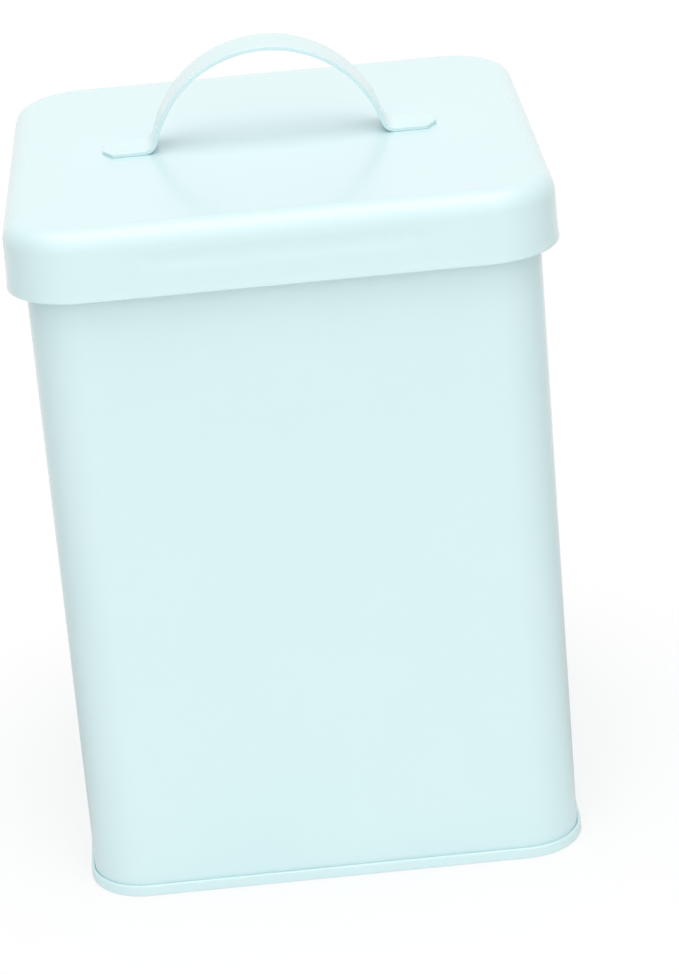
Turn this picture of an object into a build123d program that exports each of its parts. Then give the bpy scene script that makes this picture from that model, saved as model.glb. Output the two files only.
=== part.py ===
# Square laundry powder tin of thin coated steel sheet, with a lift-off lid and a strap handle.
# The origin is the middle of the footprint on the floor. The front faces -Y.
import os
from math import asin, cos, degrees, radians, sin, sqrt, tan

from build123d import *

# Driving sizes, in millimetres and degrees

# Sheet of the wall, the base and the lid, and the turn of each flat in its small bends
sheet = 0.35
flat_turn = 45.0

# Wall: a rounded square tube, open at the mouth
body_width = 142.5
body_corner = 16.0
body_height = 201.05
mouth_curl_diameter = 3.75
mouth_curl_turn = 225.0
side_seam_width = 6.0
side_seam_fold = 0.7
side_seam_end_gap = 3.0
side_seam_groove_width = 0.6
side_seam_groove_depth = 0.15

# Base: a recessed panel, rolled round the foot of the wall as a double seam
seam_height = 3.4
seam_fit = 0.03
seam_hook_gap = 0.3
seam_round = 0.5
base_recess = 4.8
base_step_rise = 1.0
base_step_inset = 7.0
base_step_land = 1.5

# Lid: a pressed cap whose rolled edge passes the mouth curl with some play
lid_depth = 19.75
lid_edge_radius = 6.0
lid_play = 0.6
lid_seat_gap = 0.3
skirt_draft = 1.2
hem_roll_diameter = 1.2
hem_roll_turn = 135.0
bead_length = 81.0
bead_height = 7.4
bead_depth = 0.5
bead_drop = 9.75

# Handle: a strip bent to a bow on two flat feet, which are spot-welded to the lid
strap_width = 15.2
strap_thickness = 1.2
handle_rise = 28.6
handle_length = 96.5
bow_radius = 33.5
foot_bend = 3.0
tip_cut_length = 3.0
tip_cut_width = 5.0

# Sizes that follow from these

# Middle of the wall's sheet, from the tin's axis, and the step from layer to layer in the base seam
wall_middle = body_width / 2 - sheet / 2
layer = sheet + seam_fit
seam_foot = 2 * layer + sheet / 2
seam_crown = seam_height - layer - sheet / 2
panel_middle = base_recess + sheet / 2

curl_radius = (mouth_curl_diameter - sheet) / 2
curl_level = body_height - curl_radius - sheet / 2
curl_reach = body_width / 2 - sheet + mouth_curl_diameter

lid_overhang = curl_reach + lid_play + hem_roll_diameter - body_width / 2
lid_width = body_width + 2 * lid_overhang
lid_corner = body_corner + lid_overhang

# The mouth curl's shoulder sits in the lid's rounded edge, the seat gap away from it
curl_shoulder = mouth_curl_diameter / 2 / cos(radians(flat_turn / 2))
lid_edge_out = lid_width / 2 - lid_depth * tan(radians(skirt_draft)) - lid_edge_radius
curl_out = max(wall_middle + curl_radius - lid_edge_out, 0)
seat_reach = lid_edge_radius - sheet - lid_seat_gap - curl_shoulder
lid_top = curl_level + lid_edge_radius - sqrt(seat_reach**2 - curl_out**2)

hem_radius = (hem_roll_diameter - sheet) / 2
hem_level = lid_top - lid_depth + hem_roll_diameter / 2
bead_radius = (bead_height**2 / 4 + bead_depth**2) / (2 * bead_depth)
bead_level = lid_top - bead_drop
bead_out = lid_width / 2 - (bead_level - hem_level) * tan(radians(skirt_draft))

# The section plane at the front: X runs outwards from the axis, Y runs up
section_plane = Plane(origin=(0, 0, 0), x_dir=(0, -1, 0), z_dir=(-1, 0, 0))

os.makedirs("parts", exist_ok=True)


def ring_path(half_width):
    """A rounded square on the floor, parallel to the wall, that a sheet section is swept along."""
    corner = body_corner + half_width - body_width / 2
    with BuildSketch() as ring:
        RectangleRounded(2 * half_width, 2 * half_width, corner)
    return ring.sketch.face().outer_wire()


def on_arc(centre, radius, angle):
    """The point of a circle at an angle in degrees."""
    return centre[0] + radius * cos(radians(angle)), centre[1] + radius * sin(radians(angle))


def bend(centre, radius, start, turn):
    """Corners of a small bend of the sheet, whose flats touch the true arc."""
    corners = round(abs(turn) / flat_turn)
    step = turn / corners
    reach = radius / cos(radians(step / 2))
    return [on_arc(centre, reach, start + step * (corner + 0.5)) for corner in range(corners)]


# Wall: hook of the base seam, straight wall and mouth curl in one sheet section
hook_middle = (wall_middle + layer, seam_foot)
curl_middle = (wall_middle + curl_radius, curl_level)
with BuildPart() as body_wall:
    with BuildSketch(section_plane):
        with BuildLine():
            Polyline(
                (wall_middle + 2 * layer, seam_crown - seam_hook_gap),
                *bend(hook_middle, layer, 0, -180),
                *bend(curl_middle, curl_radius, 180, -mouth_curl_turn),
                on_arc(curl_middle, curl_radius, 180 - mouth_curl_turn),
            )
        trace(line_width=sheet)
    sweep(path=ring_path(wall_middle))
    # Lock seam at the back: the folded edges lie inside, and a fine groove shows outside
    seam_bottom = panel_middle + side_seam_end_gap
    seam_top = curl_level - side_seam_end_gap
    with BuildSketch(Plane.XZ.offset(-(body_width / 2 - sheet))):
        with Locations((0, (seam_bottom + seam_top) / 2)):
            Rectangle(side_seam_width, seam_top - seam_bottom)
    extrude(amount=side_seam_fold)
    with BuildSketch(Plane.XZ.offset(-body_width / 2)):
        with Locations((0, (seam_bottom + seam_top) / 2)):
            Rectangle(side_seam_groove_width, seam_top - seam_bottom)
    extrude(amount=side_seam_groove_depth, mode=Mode.SUBTRACT)

body_wall.part.label = "body_wall"
export_step(body_wall.part, "parts/body_wall.step")

# Base: raised middle, recessed ring, countersink wall and the outer half of the double seam
chuck = wall_middle - layer
rim = wall_middle + 3 * layer
step_edge = chuck - base_step_inset
plate_half = step_edge - base_step_land
raised_middle = panel_middle + base_step_rise
with BuildPart() as base_panel:
    with BuildSketch(section_plane):
        with BuildLine():
            Polyline(
                (plate_half, raised_middle),
                (step_edge, raised_middle),
                (step_edge + base_step_rise, panel_middle),
                (chuck, panel_middle),
                (chuck, sheet / 2),
                *bend((rim - seam_round, sheet / 2 + seam_round), seam_round, 270, 90),
                *bend((wall_middle + 2 * layer, seam_crown), layer, 0, 180),
                (wall_middle + layer, seam_foot + seam_hook_gap),
            )
        trace(line_width=sheet)
    sweep(path=ring_path(chuck))
    with BuildSketch(Plane.XY.offset(raised_middle - sheet / 2)):
        RectangleRounded(2 * plate_half, 2 * plate_half, body_corner + plate_half - body_width / 2)
    extrude(amount=sheet)

base_panel.part.label = "base_panel"
export_step(base_panel.part, "parts/base_panel.step")


def bead_form(inset):
    """The round-ended press tool of the front bead, grown by inset for the inside face of the sheet."""
    half_run = bead_length / 2 - bead_height / 2
    axis_out = bead_out - bead_depth + bead_radius
    with BuildPart() as tool:
        with BuildSketch(Plane.YZ.offset(-half_run)):
            with Locations((-axis_out, bead_level)):
                Circle(bead_radius + inset)
        extrude(amount=2 * half_run)
        with Locations((-half_run, -axis_out, bead_level), (half_run, -axis_out, bead_level)):
            Sphere(bead_radius + inset)
    return tool.part


def lid_form(inset):
    """The pressed cap as a full form, drawn in by inset for its inside face, with a bead on each side."""
    half_width = lid_width / 2 - inset
    bead = bead_form(inset)
    with BuildPart() as form:
        with BuildSketch(Plane.XY.offset(hem_level)):
            RectangleRounded(2 * half_width, 2 * half_width, lid_corner - inset)
        extrude(amount=lid_top - inset - hem_level, taper=skirt_draft)
        fillet(form.faces().sort_by(Axis.Z)[-1].edges(), lid_edge_radius - inset)
        for side in range(4):
            add(bead.rotate(Axis.Z, 90 * side), mode=Mode.SUBTRACT)
    return form.part


# Lid: the outer form less the inner form, with its edge rolled inwards
lid_outside = lid_form(0)
lid_inside = lid_form(sheet)
hem_middle = (lid_width / 2 - sheet / 2 - hem_radius, hem_level)
with BuildPart() as lid:
    add(lid_outside)
    add(lid_inside, mode=Mode.SUBTRACT)
    with BuildSketch(section_plane):
        with BuildLine():
            Polyline(
                on_arc(hem_middle, hem_radius, 0),
                *bend(hem_middle, hem_radius, 0, -hem_roll_turn),
                on_arc(hem_middle, hem_radius, -hem_roll_turn),
            )
        trace(line_width=sheet)
    sweep(path=ring_path(lid_width / 2 - sheet / 2))

lid.part.label = "lid"
export_step(lid.part, "parts/lid.step")

# Handle: foot, bend, bow, bend and foot on one line, as wide as the strip
with BuildPart() as lid_handle:
    strap_middle = lid_top + strap_thickness / 2
    bow = bow_radius + strap_thickness / 2
    foot_turn = foot_bend + strap_thickness / 2
    bow_level = lid_top + handle_rise - strap_thickness - bow_radius
    bend_level = strap_middle + foot_turn
    bend_out = sqrt((bow + foot_turn) ** 2 - (bend_level - bow_level) ** 2)
    lean = degrees(asin((bend_level - bow_level) / (bow + foot_turn)))
    with BuildSketch(Plane.XZ):
        with BuildLine():
            Line((-handle_length / 2, strap_middle), (-bend_out, strap_middle))
            CenterArc((-bend_out, bend_level), foot_turn, -90, 90 - lean)
            CenterArc((0, bow_level), bow, 180 - lean, 2 * lean - 180)
            CenterArc((bend_out, bend_level), foot_turn, 180 + lean, 90 - lean)
            Line((bend_out, strap_middle), (handle_length / 2, strap_middle))
        trace(line_width=strap_thickness)
    extrude(amount=strap_width / 2, both=True)
    # The corners of both feet are cut off
    with BuildSketch(Plane.XY.offset(lid_top)):
        with BuildLine():
            Polyline(
                (0, strap_width / 2),
                (handle_length / 2 - tip_cut_length, strap_width / 2),
                (handle_length / 2, strap_width / 2 - tip_cut_width),
                (handle_length / 2, 0),
            )
            mirror(about=Plane.XZ)
            mirror(about=Plane.YZ)
        make_face()
    extrude(amount=handle_rise, mode=Mode.INTERSECT)

lid_handle.part.label = "lid_handle"
export_step(lid_handle.part, "parts/lid_handle.step")
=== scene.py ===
from math import atan2, cos, hypot, pi, radians, sin, sqrt, tan

import bmesh
import bpy
from mathutils import Matrix, Vector


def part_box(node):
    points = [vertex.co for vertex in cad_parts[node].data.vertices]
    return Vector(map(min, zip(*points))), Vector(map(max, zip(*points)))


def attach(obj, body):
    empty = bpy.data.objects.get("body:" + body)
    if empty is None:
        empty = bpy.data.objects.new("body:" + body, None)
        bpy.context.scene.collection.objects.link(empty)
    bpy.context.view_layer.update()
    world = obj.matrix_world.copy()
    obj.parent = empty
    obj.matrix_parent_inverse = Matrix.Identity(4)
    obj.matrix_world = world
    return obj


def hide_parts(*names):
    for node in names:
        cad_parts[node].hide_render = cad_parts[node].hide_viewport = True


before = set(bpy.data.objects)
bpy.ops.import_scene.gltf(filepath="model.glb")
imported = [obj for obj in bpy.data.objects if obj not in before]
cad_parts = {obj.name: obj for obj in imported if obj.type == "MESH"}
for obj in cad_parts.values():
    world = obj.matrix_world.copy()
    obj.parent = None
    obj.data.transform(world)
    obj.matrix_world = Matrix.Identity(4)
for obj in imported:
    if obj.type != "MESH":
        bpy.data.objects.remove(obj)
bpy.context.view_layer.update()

# Sizes in metres, angles in degrees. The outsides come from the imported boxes
mm = 0.001
wall_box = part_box("body_wall")
base_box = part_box("base_panel")
lid_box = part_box("lid")
strap_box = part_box("lid_handle")

# Sheet metal, and the middle of the rounded corners, which all the rings share
sheet = 0.35 * mm
corner_centre = 55.25 * mm
weld_distance = 0.002 * mm

# Double seam at the foot, where the wall's hook and the base's hook lock together
seam_fit = 0.03 * mm
seam_height = 3.4 * mm
seam_round = 0.5 * mm
seam_hook_gap = 0.3 * mm
layer = sheet + seam_fit
rim_out = base_box[1].x - sheet / 2
wall_out = rim_out - 3 * layer
chuck_out = wall_out - layer
seam_foot = 2 * layer + sheet / 2
seam_crown = seam_height - layer - sheet / 2

# Base panel
base_recess = 4.8 * mm
base_bend = 0.8 * mm
step_rise = 1.0 * mm
step_inset = 7.0 * mm
step_round = 0.9 * mm
step_turn = 45

# Mouth curl, bow and side seam of the wall
mouth_top = wall_box[1].z
curl_diameter = 3.75 * mm
curl_turn = 225
curl_level = mouth_top - curl_diameter / 2
wall_crown = 0.35 * mm
wall_middle = (seam_height + curl_level) / 2
fold_width = 6.0 * mm
fold_rise = 0.7 * mm
fold_end_gap = 3.0 * mm
fold_round = 0.3 * mm
groove_width = 0.6 * mm
groove_depth = 0.15 * mm

# Lid
lid_out = lid_box[1].x
lid_top = lid_box[1].z
lid_foot = lid_box[0].z
lid_edge_radius = 6.0 * mm
skirt_draft = 1.2
flare_turn = 9
flare_radius = 16.0 * mm
hem_diameter = 1.2 * mm
hem_turn = 135
bead_half_length = 40.5 * mm
bead_half_height = 3.7 * mm
bead_level = lid_top - 9.75 * mm
bead_end = 6.0 * mm
bead_depth = 0.5 * mm

# Handle. Its edges are rounded where the strip turns by more than the corner turn
strap_thickness = 1.2 * mm
bow_radius = 33.5 * mm
foot_bend = 3.0 * mm
tip_cut_length = 3.0 * mm
tip_cut_width = 5.0 * mm
strap_edge = 0.22 * mm
strap_corner_turn = 60
strap_sharp_turn = 40
spot_radius = 2.0 * mm
spot_depth = 0.16 * mm

# Mint enamel: its two tones, its gloss, and the sizes and strengths of its marks
coat_deep = (0.698, 0.910, 0.928, 1)
coat_pale = (0.738, 0.930, 0.943, 1)
enamel_ior = 1.5
enamel_roughness = 0.36
gloss_weight = 0.75
gloss_roughness = 0.13
peel_size = 1.4 * mm
peel_height = 0.010 * mm
sway_size = 60 * mm
sway_height = 0.06 * mm
cloud_size = 38 * mm
cloud_tone = 1.1
cloud_roughness = 0.10
grain_size = 0.35 * mm
grain_tone = 0.35
grain_roughness = 0.05

# White floor, whose shadow is kept near the tin and fades to bare white
white = (1, 1, 1, 1)
black = (0, 0, 0, 1)
paper_white = (0.98, 0.98, 0.98, 1)
floor_reach = 8.0
floor_drop = 0.05 * mm
shadow_near = 80 * mm
shadow_far = 170 * mm
shadow_white = 0.7

# White room and soft boxes: brightness, where 1 is white, and the depth of the dark flags at both sides
ambient = 0.53
light_flags = 0.9
mirror_flags = 0.55
box_distance = 6.8
top_box_size = (7.2, 7.2)
top_elevation = 80
top_strength = 1.73
front_box_size = (7.6, 4.6)
front_elevation = 30
front_strength = 0.86

# The camera of the photograph, whose picture is this many pixels tall
camera_azimuth = -1.588
camera_elevation = 20.825
camera_roll = -4.937
camera_distance = 991.75 * mm
camera_aim = Vector((13.425, 0.0, 117.955)) * mm
sensor_millimetres = 36
focal_pixels = 3327
shift_pixels = -80
photo_height = 974


def of_type(found, kind):
    """The vertices, edges or faces among the geometry that an operator gives back."""
    return [part for part in found if isinstance(part, kind)]


class Section:
    """A line across the middle of a sheet, drawn on from its tip. Out is away from the tin's axis."""

    def __init__(self, out, up):
        self.bm = bmesh.new()
        self.tip = self.bm.verts.new(self.place(out, up))

    def place(self, out, up):
        return Vector((corner_centre, -out, up))

    def grow(self, **motion):
        grown = bmesh.ops.spin(self.bm, geom=[self.tip], axis=(-1, 0, 0), **motion)
        self.tip = of_type(grown["geom_last"], bmesh.types.BMVert)[0]

    def run(self, out, up, cuts=1):
        """A straight run to a point, in equal lengths."""
        self.grow(dvec=(self.place(out, up) - self.tip.co) / cuts, angle=0, steps=cuts)

    def turn(self, out, up, angle, steps):
        """An arc about a point. A positive angle turns from outwards to upwards."""
        self.grow(cent=self.place(out, up), angle=radians(angle), steps=steps)


def corner_and_side(bm, corner_steps, side_cuts):
    """Carries a section round the right front corner and on along the right side."""
    corner = bmesh.ops.spin(
        bm, geom=bm.verts[:] + bm.edges[:], cent=(corner_centre, -corner_centre, 0),
        axis=(0, 0, 1), angle=pi / 2, steps=corner_steps,
    )
    side_step = Vector((0, 2 * corner_centre / side_cuts, 0))
    bmesh.ops.spin(bm, geom=corner["geom_last"], axis=(0, 0, 1), dvec=side_step, angle=0, steps=side_cuts)


def four_quarters(bm):
    """Repeats a corner and a side round the tin, and closes the seams between them."""
    bmesh.ops.spin(
        bm, geom=bm.verts[:] + bm.edges[:] + bm.faces[:], cent=(0, 0, 0),
        axis=(0, 0, 1), angle=1.5 * pi, steps=3, use_duplicate=True,
    )
    bmesh.ops.remove_doubles(bm, verts=bm.verts[:], dist=weld_distance)


def close_middle(bm, level):
    """Closes the square that a section leaves open round the axis."""
    rim = [edge for edge in bm.edges if edge.is_boundary and abs(edge.verts[0].co.z - level) < weld_distance]
    inside = [edge for edge in rim if max(map(abs, edge.verts[0].co.xy)) < corner_centre + weld_distance]
    bmesh.ops.contextual_create(bm, geom=inside)


def finished_piece(bm, name, node, body, thickness=None):
    """Makes the mesh a piece that stands for a node, with its sheet's thickness and its finish."""
    if thickness:
        bmesh.ops.recalc_face_normals(bm, faces=bm.faces[:])
    mesh = bpy.data.meshes.new(name)
    bm.to_mesh(mesh)
    bm.free()
    mesh.shade_smooth()
    piece = bpy.data.objects.new(name, mesh)
    bpy.context.scene.collection.objects.link(piece)
    if thickness:
        shell = piece.modifiers.new("sheet", "SOLIDIFY")
        shell.thickness = thickness
        shell.offset = 0
        shell.use_even_offset = True
        shell.use_quality_normals = True
    else:
        mesh.set_sharp_from_angle(angle=radians(strap_sharp_turn))
    flats = piece.modifiers.new("true_flats", "WEIGHTED_NORMAL")
    flats.keep_sharp = True
    piece.data.materials.append(mint_coat)
    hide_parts(node)
    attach(piece, body)


class Value:
    """A shader socket that sums and products can be written with."""

    def __init__(self, finish, socket):
        self.finish = finish
        self.socket = socket

    def reckon(self, operation, first, second):
        return self.finish.node("ShaderNodeMath", {"operation": operation}, {0: first, 1: second})

    def __add__(self, other):
        return self.reckon("ADD", self, other)

    def __sub__(self, other):
        return self.reckon("SUBTRACT", self, other)

    def __rsub__(self, other):
        return self.reckon("SUBTRACT", other, self)

    def __mul__(self, other):
        return self.reckon("MULTIPLY", self, other)

    __radd__ = __add__
    __rmul__ = __mul__


class Finish:
    """The nodes of a material or of the world."""

    def __init__(self, owner):
        owner.use_nodes = True
        self.tree = owner.node_tree
        self.tree.nodes.clear()

    def node(self, kind, settings=None, values=None, output=0):
        """A node with its settings, then its socket values or links. Gives back one of its outputs."""
        made = self.tree.nodes.new(kind)
        for name, setting in (settings or {}).items():
            setattr(made, name, setting)
        for name, value in (values or {}).items():
            if isinstance(value, Value):
                self.tree.links.new(value.socket, made.inputs[name])
            else:
                made.inputs[name].default_value = value
        if made.outputs:
            return Value(self, made.outputs[output])
        return None

    def noise(self, place, size, detail=1.0):
        """Noise about zero, whose lumps have a size in metres."""
        values = {"Vector": place, "Scale": 1 / size, "Detail": detail}
        return self.node("ShaderNodeTexNoise", {"noise_dimensions": "3D"}, values) - 0.5

    def seen_by(self, *rays):
        """One for the named kinds of ray, such as Camera or Glossy, and zero for the others."""
        kinds = [self.node("ShaderNodeLightPath", output=f"Is {ray} Ray") for ray in rays]
        return sum(kinds[1:], kinds[0])

    def flags(self, toward, depth):
        """How dark the flags at both sides make a direction. In front and behind it is nothing."""
        aside = self.node("ShaderNodeSeparateXYZ", None, {0: toward}, output="X")
        square = aside * aside
        return depth * square * square


def mint_coat_finish():
    """Baked satin enamel on steel: a fine orange peel, a slightly uneven sheet and cloudy colour."""
    material = bpy.data.materials.new("mint_coat")
    finish = Finish(material)
    place = finish.node("ShaderNodeTexCoord", output="Object")
    peel = finish.noise(place, peel_size, detail=2.0)
    cloud = finish.noise(place, cloud_size, detail=3.0)
    sway = finish.noise(place, sway_size)
    grain = finish.noise(place, grain_size, detail=2.0)
    # Sockets 6 and 7 and output 2 are the colours of a Mix node
    blend = 0.5 + cloud_tone * cloud + grain_tone * grain
    tone = finish.node(
        "ShaderNodeMix", {"data_type": "RGBA", "blend_type": "MIX"},
        {"Factor": blend, 6: coat_deep, 7: coat_pale}, output=2,
    )
    normal = finish.node(
        "ShaderNodeBump", None,
        {"Height": peel_height * peel + sway_height * sway, "Strength": 1.0, "Distance": 1.0},
    )
    shader = finish.node(
        "ShaderNodeBsdfPrincipled", None,
        {
            "Base Color": tone,
            "Roughness": enamel_roughness + cloud_roughness * cloud + grain_roughness * grain,
            "Normal": normal,
            "IOR": enamel_ior,
            "Coat Weight": gloss_weight,
            "Coat Roughness": gloss_roughness,
        },
    )
    finish.node("ShaderNodeOutputMaterial", None, {"Surface": shader})
    return material


def wall_piece():
    """The wall: its seam hook, the straight wall and the curl at the mouth, with a lock seam at the back."""
    curl_radius = (curl_diameter - sheet) / 2
    section = Section(wall_out + 2 * layer, seam_crown - seam_hook_gap)
    section.run(wall_out + 2 * layer, seam_foot, cuts=2)
    section.turn(wall_out + layer, seam_foot, -180, steps=12)
    section.run(wall_out, seam_height + sheet, cuts=2)
    section.run(wall_out, curl_level, cuts=40)
    section.turn(wall_out + curl_radius, curl_level, -curl_turn, steps=30)
    bm = section.bm
    corner_and_side(bm, corner_steps=24, side_cuts=32)
    for vert in bm.verts:
        if vert.co.x > corner_centre:
            vert.co.x += wall_bow(vert.co.y, vert.co.z)
    four_quarters(bm)
    lock_seam(bm)
    finished_piece(bm, "wall_sheet", "body_wall", "tin", sheet)


def wall_bow(along, level):
    """How far a side of the wall bows outwards, as thin sheet does between its stiff corners."""
    across = max(1 - (along / corner_centre) ** 2, 0)
    upright = max(1 - ((level - wall_middle) / (curl_level - wall_middle)) ** 2, 0)
    return wall_crown * across**2 * upright


def lock_seam(bm):
    """A fine groove outside at the back, and the folded edges inside behind it."""
    low = base_recess + sheet / 2 + fold_end_gap
    high = curl_level - fold_end_gap
    for cut in (-groove_width / 2, 0, groove_width / 2):
        back = [face for face in bm.faces if face.calc_center_median().y > corner_centre]
        edges = dict.fromkeys(edge for face in back for edge in face.edges)
        verts = dict.fromkeys(vert for face in back for vert in face.verts)
        bmesh.ops.bisect_plane(
            bm, geom=[*back, *edges, *verts], plane_co=(cut, 0, 0), plane_no=(1, 0, 0), dist=weld_distance,
        )
    for vert in bm.verts:
        if abs(vert.co.x) < weld_distance and vert.co.y > corner_centre and low < vert.co.z < high:
            vert.co.y -= groove_depth
    # The fold is a strip with its edges turned to the wall, and it follows the wall's bow
    wall_verts = set(bm.verts)
    fold = bmesh.ops.create_grid(
        bm, x_segments=6, y_segments=24, size=0.5,
        matrix=Matrix.Translation((0, wall_out - fold_rise, (low + high) / 2))
        @ Matrix.Rotation(pi / 2, 4, "X")
        @ Matrix.Diagonal((fold_width - sheet, high - low, 1, 1)),
    )
    fold_edges = dict.fromkeys(edge for vert in fold["verts"] for edge in vert.link_edges)
    rim = [edge for edge in fold_edges if edge.is_boundary]
    sides = bmesh.ops.extrude_edge_only(bm, edges=rim)
    moved = of_type(sides["geom"], bmesh.types.BMVert)
    bmesh.ops.translate(bm, verts=moved, vec=(0, fold_rise - sheet, 0))
    bmesh.ops.bevel(bm, geom=rim, offset=fold_round, segments=3, profile=0.5, affect="EDGES", material=-1)
    for vert in set(bm.verts) - wall_verts:
        vert.co.y += wall_bow(vert.co.x, vert.co.z)


def base_piece():
    """The base: a raised middle, a recessed ring and the outer half of the double seam."""
    panel = base_recess + sheet / 2
    raised = panel + step_rise
    step_out = chuck_out - step_inset
    ease = step_round * tan(radians(step_turn / 2))
    drop = step_round * (1 - cos(radians(step_turn)))
    section = Section(corner_centre, raised)
    section.run(step_out - ease, raised, cuts=3)
    section.turn(step_out - ease, raised - step_round, -step_turn, steps=5)
    section.run(step_out + step_rise - ease * cos(radians(step_turn)), panel + drop)
    section.turn(step_out + step_rise + ease, panel + step_round, step_turn, steps=5)
    section.run(chuck_out - base_bend, panel, cuts=2)
    section.turn(chuck_out - base_bend, panel - base_bend, -90, steps=10)
    section.run(chuck_out, sheet / 2 + seam_round, cuts=2)
    section.turn(chuck_out + seam_round, sheet / 2 + seam_round, 90, steps=8)
    section.run(rim_out - seam_round, sheet / 2)
    section.turn(rim_out - seam_round, sheet / 2 + seam_round, 90, steps=8)
    section.run(rim_out, seam_crown, cuts=3)
    section.turn(rim_out - layer, seam_crown, 180, steps=16)
    section.run(wall_out + layer, seam_foot + seam_hook_gap, cuts=2)
    bm = section.bm
    corner_and_side(bm, corner_steps=24, side_cuts=12)
    four_quarters(bm)
    close_middle(bm, raised)
    finished_piece(bm, "base_sheet", "base_panel", "tin", sheet)


def on_arc(centre, radius, angle):
    """The point of a section's circle at an angle in degrees, from outwards to upwards."""
    return centre + radius * Vector((cos(radians(angle)), sin(radians(angle))))


def lid_piece():
    """The lid: a flat top, a rounded edge, a skirt with beads, and a foot that flares to a rolled hem."""
    slope = tan(radians(skirt_draft))
    lean = skirt_draft + flare_turn
    hem_radius = (hem_diameter - sheet) / 2
    hem = Vector((lid_out - sheet / 2 - hem_radius, lid_foot + hem_diameter / 2))
    flare = on_arc(hem, hem_radius + flare_radius, lean)
    skirt_foot = on_arc(flare, -flare_radius, skirt_draft)
    edge = Vector((0, lid_top - lid_edge_radius))
    skirt_top = on_arc(edge, lid_edge_radius - sheet / 2, skirt_draft)
    edge.x = skirt_foot.x - (skirt_top.y - skirt_foot.y) * slope - skirt_top.x

    section = Section(corner_centre, lid_top - sheet / 2)
    section.run(edge.x, lid_top - sheet / 2, cuts=4)
    section.turn(*edge, skirt_draft - 90, steps=18)
    bead_top = bead_level + bead_half_height
    bead_foot = bead_level - bead_half_height
    for level, cuts in ((bead_top, 1), (bead_foot, 30), (skirt_foot.y, 2)):
        section.run(skirt_foot.x - (level - skirt_foot.y) * slope, level, cuts=cuts)
    section.turn(*flare, flare_turn, steps=8)
    section.turn(*hem, -lean - hem_turn, steps=26)
    bm = section.bm
    corner_and_side(bm, corner_steps=28, side_cuts=96)
    press_bead(bm)
    four_quarters(bm)
    close_middle(bm, lid_top - sheet / 2)
    finished_piece(bm, "lid_sheet", "lid", "lid", sheet)


def press_bead(bm):
    """Presses the long bead into the right side's skirt, with ends that run out softly."""
    for vert in bm.verts:
        above = vert.co.z - bead_level
        over = abs(vert.co.y) - (bead_half_length - bead_end)
        reach = hypot(above / bead_half_height, max(over, 0) / bead_end)
        if reach < 1 and vert.co.x > lid_out - lid_edge_radius:
            vert.co.x -= bead_depth * (1 + cos(pi * reach)) / 2


def handle_piece():
    """The handle: a strip with two flat feet, bent up into a bow, with cut corners and spot-welded feet."""
    half_length = strap_box[1].x
    half_width = strap_box[1].y
    foot_level = lid_top + strap_thickness
    bow = bow_radius + strap_thickness
    bow_level = strap_box[1].z - bow
    bend_level = foot_level + foot_bend
    bend_out = sqrt((bow + foot_bend) ** 2 - (bend_level - bow_level) ** 2)
    up_turn = atan2(bend_out, bend_level - bow_level)
    bm = bmesh.new()
    across = [bm.verts.new((-half_length, side * half_width, foot_level)) for side in (-1, 1)]
    tip_edge = bm.edges.new(across)
    bmesh.ops.subdivide_edges(bm, edges=[tip_edge], cuts=29)
    # The tip is carried along a foot, up the bend, over the bow and down again
    foot_cuts = 26
    foot = {"dvec": Vector(((half_length - bend_out) / foot_cuts, 0, 0)), "angle": 0, "steps": foot_cuts}
    last = bm.verts[:] + bm.edges[:]
    for motion in (
        foot,
        {"cent": (-bend_out, 0, bend_level), "angle": -up_turn, "steps": 14},
        {"cent": (0, 0, bow_level), "angle": 2 * up_turn, "steps": 72},
        {"cent": (bend_out, 0, bend_level), "angle": -up_turn, "steps": 14},
        foot,
    ):
        last = bmesh.ops.spin(bm, geom=last, axis=(0, 1, 0), **motion)["geom_last"]
    for side_x in (-1, 1):
        for side_y in (-1, 1):
            bmesh.ops.bisect_plane(
                bm, geom=bm.verts[:] + bm.edges[:] + bm.faces[:], dist=weld_distance, clear_outer=True,
                plane_co=(side_x * half_length, side_y * (half_width - tip_cut_width), 0),
                plane_no=(side_x * tip_cut_width, side_y * tip_cut_length, 0),
            )
    if bm.faces[:][0].normal.z < 0:
        bmesh.ops.reverse_faces(bm, faces=bm.faces[:])
    bmesh.ops.solidify(bm, geom=bm.faces[:], thickness=strap_thickness)
    bm.normal_update()
    corner_turn = radians(strap_corner_turn)
    edges = [edge for edge in bm.edges if edge.is_manifold and edge.calc_face_angle() > corner_turn]
    bmesh.ops.bevel(bm, geom=edges, offset=strap_edge, segments=3, profile=0.5, affect="EDGES", material=-1)
    spot_out = (bend_out + half_length) / 2
    for vert in bm.verts:
        reach = hypot(abs(vert.co.x) - spot_out, vert.co.y) / spot_radius
        if reach < 1 and abs(vert.co.z - foot_level) < weld_distance:
            vert.co.z -= spot_depth * (1 + cos(pi * reach)) / 2
    finished_piece(bm, "strap_handle", "lid_handle", "lid")


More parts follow.
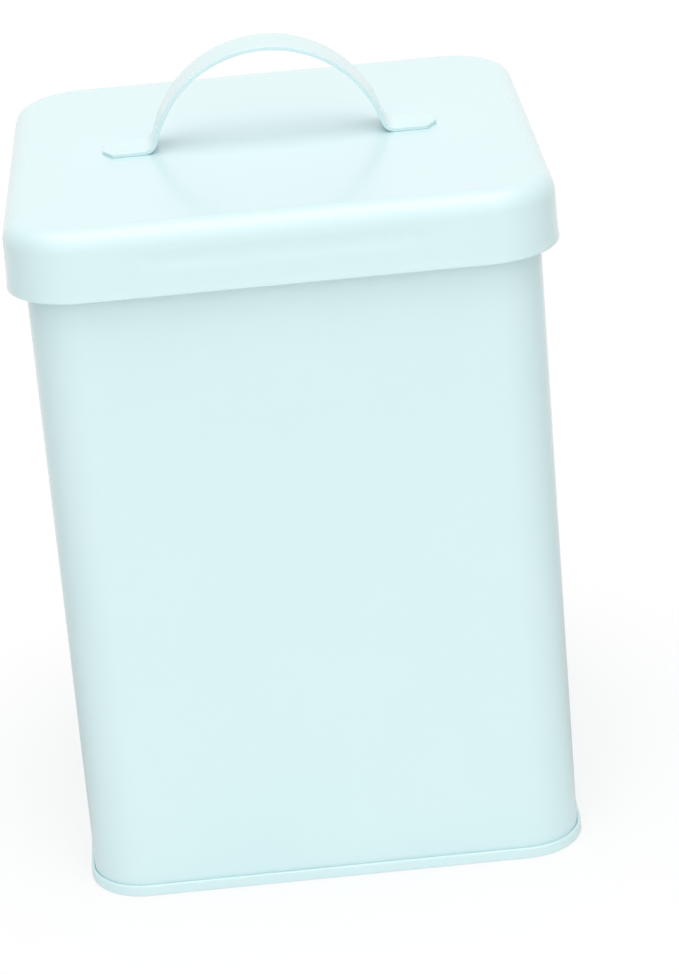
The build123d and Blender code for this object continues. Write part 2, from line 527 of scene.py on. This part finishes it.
def white_floor():
    """A white floor that keeps the tin's soft shadow, with dark flags at the sides for mirror rays only."""
    bm = bmesh.new()
    below = Matrix.Translation((0, 0, -floor_drop))
    bmesh.ops.create_grid(bm, x_segments=2, y_segments=2, size=floor_reach, matrix=below)
    mesh = bpy.data.meshes.new("floor")
    bm.to_mesh(mesh)
    bm.free()
    floor = bpy.data.objects.new("floor", mesh)
    bpy.context.scene.collection.objects.link(floor)
    material = bpy.data.materials.new("white_floor")
    finish = Finish(material)
    place = finish.node("ShaderNodeTexCoord", output="Object")
    away = finish.node("ShaderNodeVectorMath", {"operation": "LENGTH"}, {0: place}, output="Value")
    far = finish.node(
        "ShaderNodeMapRange", {"interpolation_type": "SMOOTHSTEP"},
        {
            "Value": away,
            "From Min": shadow_near,
            "From Max": shadow_far,
            "To Min": shadow_white,
            "To Max": 1.0,
        },
    )
    toward = finish.node("ShaderNodeVectorMath", {"operation": "NORMALIZE"}, {0: place})
    seen = finish.seen_by("Camera", "Glossy", "Transmission")
    dark = finish.seen_by("Glossy") * finish.flags(toward, mirror_flags)
    paper = finish.node("ShaderNodeBsdfDiffuse", None, {"Color": paper_white})
    glow = finish.node("ShaderNodeEmission", None, {"Color": white, "Strength": 1.0})
    flag = finish.node("ShaderNodeBsdfDiffuse", None, {"Color": black})
    bright = finish.node("ShaderNodeMixShader", None, {0: dark, 1: glow, 2: flag})
    mixed = finish.node("ShaderNodeMixShader", None, {0: seen * far, 1: paper, 2: bright})
    finish.node("ShaderNodeOutputMaterial", None, {"Surface": mixed})
    mesh.materials.append(material)


def white_room():
    """A white room to look at and to mirror, which lights the tin less, with dark flags at both sides."""
    world = bpy.data.worlds.new("white_room")
    bpy.context.scene.world = world
    room = Finish(world)
    toward = room.node("ShaderNodeTexCoord", output="Generated")
    behind = room.seen_by("Camera", "Transmission")
    mirrored = room.seen_by("Glossy")
    lit = (1 - behind - mirrored) * ambient * (1 - room.flags(toward, light_flags))
    level = behind + mirrored * (1 - room.flags(toward, mirror_flags)) + lit
    shine = room.node("ShaderNodeBackground", None, {"Color": white, "Strength": level})
    room.node("ShaderNodeOutputWorld", None, {"Surface": shine})


def around(azimuth, elevation, distance):
    """The place and turn of something that looks at the tin, from an azimuth of 0 straight in front."""
    turn = Matrix.Rotation(radians(azimuth), 4, "Z") @ Matrix.Rotation(pi / 2 - radians(elevation), 4, "X")
    return turn @ Matrix.Translation((0, 0, distance))


def soft_box(name, elevation, size, strength, mirrored):
    """A soft box that faces the tin. Its strength is the brightness of its face, where 1 is white."""
    light = bpy.data.lights.new(name, "AREA")
    light.shape = "RECTANGLE"
    light.size, light.size_y = size
    light.energy = strength * pi * size[0] * size[1]
    holder = bpy.data.objects.new(name, light)
    holder.matrix_world = Matrix.Translation((0, 0, lid_top / 2)) @ around(0, elevation, box_distance)
    holder.visible_camera = False
    holder.visible_glossy = mirrored
    bpy.context.scene.collection.objects.link(holder)


def photo_camera():
    """The camera at the photograph's angle. Its sensor lies along the picture's tall side."""
    data = bpy.data.cameras.new("photo_camera")
    data.sensor_width = sensor_millimetres
    data.lens = focal_pixels * sensor_millimetres / photo_height
    data.shift_y = shift_pixels / photo_height
    camera = bpy.data.objects.new("photo_camera", data)
    stand = Matrix.Translation(camera_aim) @ around(camera_azimuth, camera_elevation, camera_distance)
    camera.matrix_world = stand @ Matrix.Rotation(radians(camera_roll), 4, "Z")
    bpy.context.scene.collection.objects.link(camera)
    bpy.context.scene.camera = camera


mint_coat = mint_coat_finish()
wall_piece()
base_piece()
lid_piece()
handle_piece()
white_floor()
white_room()
soft_box("top_box", top_elevation, top_box_size, top_strength, mirrored=True)
soft_box("front_box", front_elevation, front_box_size, front_strength, mirrored=False)
photo_camera()
bpy.context.scene.view_settings.view_transform = "Standard"
